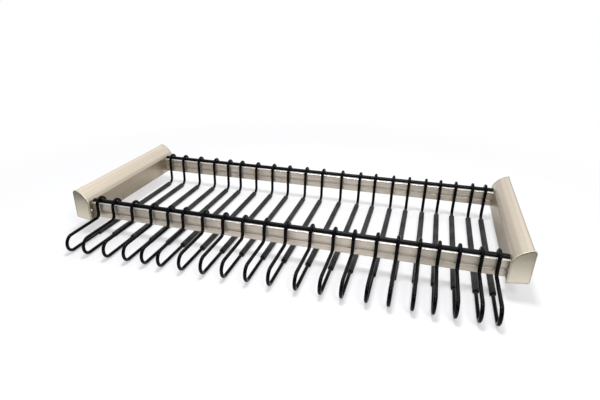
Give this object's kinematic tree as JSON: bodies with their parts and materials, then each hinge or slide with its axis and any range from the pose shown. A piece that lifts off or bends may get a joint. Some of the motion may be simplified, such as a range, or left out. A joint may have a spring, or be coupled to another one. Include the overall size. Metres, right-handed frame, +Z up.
{
  "type": "pull out trouser rack",
  "caption": "Pull-out trouser rack: two curved side profiles on hidden ball runners, joined by rails that carry sliding wire hangers with soft sleeves.",
  "frame": {"origin": "middle of the footprint, level with the underside of the trouser bars", "axes": "+X across the wardrobe to the right seen from the front, -Y out of the wardrobe towards the user, +Z up"},
  "size_m": [0.868, 0.4549, 0.0948],
  "materials": {
    "champagne_aluminium": "satin anodised",
    "champagne_rail": "satin anodised",
    "champagne_cap": "satin",
    "black_strip": "semi-gloss",
    "black_coated_wire": "gloss dip coating",
    "grey_sleeve": "matte",
    "zinc_plated_steel": "zinc plated",
    "ball_cage_steel": "bright",
    "bright_screw_steel": "polished"
  },
  "bodies": {
    "wardrobe_runners": {"cabinet_members": "zinc_plated_steel"},
    "rack": {"left_side_profile": "champagne_aluminium", "left_front_cap": "champagne_cap", "left_rear_cap": "champagne_cap", "right_side_profile": "champagne_aluminium", "right_front_cap": "champagne_cap", "right_rear_cap": "champagne_cap", "front_rail": "champagne_rail", "front_rail_strip": "black_strip", "rear_rail": "champagne_rail", "rear_rail_strip": "black_strip", "drawer_members": "zinc_plated_steel", "rail_screws": "bright_screw_steel", "cap_screws": "bright_screw_steel", "runner_screws": "bright_screw_steel"},
    "middle_members": {"middle_members": "zinc_plated_steel"},
    "outer_cages": {"outer_ball_cages": "ball_cage_steel"},
    "inner_cages": {"inner_ball_cages": "ball_cage_steel"},
    "hanger_01": {"hanger_wire_01": "black_coated_wire", "hanger_sleeve_01": "grey_sleeve"},
    "hanger_02": {"hanger_wire_02": "black_coated_wire", "hanger_sleeve_02": "grey_sleeve"},
    "hanger_03": {"hanger_wire_03": "black_coated_wire", "hanger_sleeve_03": "grey_sleeve"},
    "hanger_04": {"hanger_wire_04": "black_coated_wire", "hanger_sleeve_04": "grey_sleeve"},
    "hanger_05": {"hanger_wire_05": "black_coated_wire", "hanger_sleeve_05": "grey_sleeve"},
    "hanger_06": {"hanger_wire_06": "black_coated_wire", "hanger_sleeve_06": "grey_sleeve"},
    "hanger_07": {"hanger_wire_07": "black_coated_wire", "hanger_sleeve_07": "grey_sleeve"},
    "hanger_08": {"hanger_wire_08": "black_coated_wire", "hanger_sleeve_08": "grey_sleeve"},
    "hanger_09": {"hanger_wire_09": "black_coated_wire", "hanger_sleeve_09": "grey_sleeve"},
    "hanger_10": {"hanger_wire_10": "black_coated_wire", "hanger_sleeve_10": "grey_sleeve"},
    "hanger_11": {"hanger_wire_11": "black_coated_wire", "hanger_sleeve_11": "grey_sleeve"},
    "hanger_12": {"hanger_wire_12": "black_coated_wire", "hanger_sleeve_12": "grey_sleeve"},
    "hanger_13": {"hanger_wire_13": "black_coated_wire", "hanger_sleeve_13": "grey_sleeve"},
    "hanger_14": {"hanger_wire_14": "black_coated_wire", "hanger_sleeve_14": "grey_sleeve"},
    "hanger_15": {"hanger_wire_15": "black_coated_wire", "hanger_sleeve_15": "grey_sleeve"},
    "hanger_16": {"hanger_wire_16": "black_coated_wire", "hanger_sleeve_16": "grey_sleeve"},
    "hanger_17": {"hanger_wire_17": "black_coated_wire", "hanger_sleeve_17": "grey_sleeve"},
    "hanger_18": {"hanger_wire_18": "black_coated_wire", "hanger_sleeve_18": "grey_sleeve"},
    "hanger_19": {"hanger_wire_19": "black_coated_wire", "hanger_sleeve_19": "grey_sleeve"},
    "hanger_20": {"hanger_wire_20": "black_coated_wire", "hanger_sleeve_20": "grey_sleeve"},
    "hanger_21": {"hanger_wire_21": "black_coated_wire", "hanger_sleeve_21": "grey_sleeve"}
  },
  "joints": [
    {"name": "rack_pull", "type": "slide", "parent": "wardrobe_runners", "child": "rack", "axis": [0, -1, 0], "range_m": [0, 0.34]},
    {"name": "middle_member_slide", "type": "slide", "parent": "wardrobe_runners", "child": "middle_members", "axis": [0, -1, 0], "range_m": [0, 0.17]},
    {"name": "outer_cage_roll", "type": "slide", "parent": "wardrobe_runners", "child": "outer_cages", "axis": [0, -1, 0], "range_m": [0, 0.085]},
    {"name": "inner_cage_roll", "type": "slide", "parent": "wardrobe_runners", "child": "inner_cages", "axis": [0, -1, 0], "range_m": [0, 0.255]},
    {"name": "hanger_01_slide", "type": "slide", "parent": "rack", "child": "hanger_01", "axis": [1, 0, 0], "range_m": [-0.0105, 0.0125]},
    {"name": "hanger_02_slide", "type": "slide", "parent": "rack", "child": "hanger_02", "axis": [1, 0, 0], "range_m": [-0.0125, 0.016]},
    {"name": "hanger_03_slide", "type": "slide", "parent": "rack", "child": "hanger_03", "axis": [1, 0, 0], "range_m": [-0.016, 0.0155]},
    {"name": "hanger_04_slide", "type": "slide", "parent": "rack", "child": "hanger_04", "axis": [1, 0, 0], "range_m": [-0.0155, 0.013]},
    {"name": "hanger_05_slide", "type": "slide", "parent": "rack", "child": "hanger_05", "axis": [1, 0, 0], "range_m": [-0.013, 0.0105]},
    {"name": "hanger_06_slide", "type": "slide", "parent": "rack", "child": "hanger_06", "axis": [1, 0, 0], "range_m": [-0.0105, 0.015]},
    {"name": "hanger_07_slide", "type": "slide", "parent": "rack", "child": "hanger_07", "axis": [1, 0, 0], "range_m": [-0.015, 0.015]},
    {"name": "hanger_08_slide", "type": "slide", "parent": "rack", "child": "hanger_08", "axis": [1, 0, 0], "range_m": [-0.015, 0.014]},
    {"name": "hanger_09_slide", "type": "slide", "parent": "rack", "child": "hanger_09", "axis": [1, 0, 0], "range_m": [-0.014, 0.0155]},
    {"name": "hanger_10_slide", "type": "slide", "parent": "rack", "child": "hanger_10", "axis": [1, 0, 0], "range_m": [-0.0155, 0.0145]},
    {"name": "hanger_11_slide", "type": "slide", "parent": "rack", "child": "hanger_11", "axis": [1, 0, 0], "range_m": [-0.0145, 0.017]},
    {"name": "hanger_12_slide", "type": "slide", "parent": "rack", "child": "hanger_12", "axis": [1, 0, 0], "range_m": [-0.017, 0.015]},
    {"name": "hanger_13_slide", "type": "slide", "parent": "rack", "child": "hanger_13", "axis": [1, 0, 0], "range_m": [-0.015, 0.0115]},
    {"name": "hanger_14_slide", "type": "slide", "parent": "rack", "child": "hanger_14", "axis": [1, 0, 0], "range_m": [-0.0115, 0.014]},
    {"name": "hanger_15_slide", "type": "slide", "parent": "rack", "child": "hanger_15", "axis": [1, 0, 0], "range_m": [-0.014, 0.0115]},
    {"name": "hanger_16_slide", "type": "slide", "parent": "rack", "child": "hanger_16", "axis": [1, 0, 0], "range_m": [-0.0115, 0.012]},
    {"name": "hanger_17_slide", "type": "slide", "parent": "rack", "child": "hanger_17", "axis": [1, 0, 0], "range_m": [-0.012, 0.0095]},
    {"name": "hanger_18_slide", "type": "slide", "parent": "rack", "child": "hanger_18", "axis": [1, 0, 0], "range_m": [-0.0095, 0.01]},
    {"name": "hanger_19_slide", "type": "slide", "parent": "rack", "child": "hanger_19", "axis": [1, 0, 0], "range_m": [-0.01, 0.011]},
    {"name": "hanger_20_slide", "type": "slide", "parent": "rack", "child": "hanger_20", "axis": [1, 0, 0], "range_m": [-0.011, 0.007]},
    {"name": "hanger_21_slide", "type": "slide", "parent": "rack", "child": "hanger_21", "axis": [1, 0, 0], "range_m": [-0.007, 0.0105]}
  ],
  "couplings": [
    {"joint": "middle_member_slide", "follows": "rack_pull", "ratio": 0.5},
    {"joint": "outer_cage_roll", "follows": "rack_pull", "ratio": 0.25},
    {"joint": "inner_cage_roll", "follows": "rack_pull", "ratio": 0.75}
  ]
}
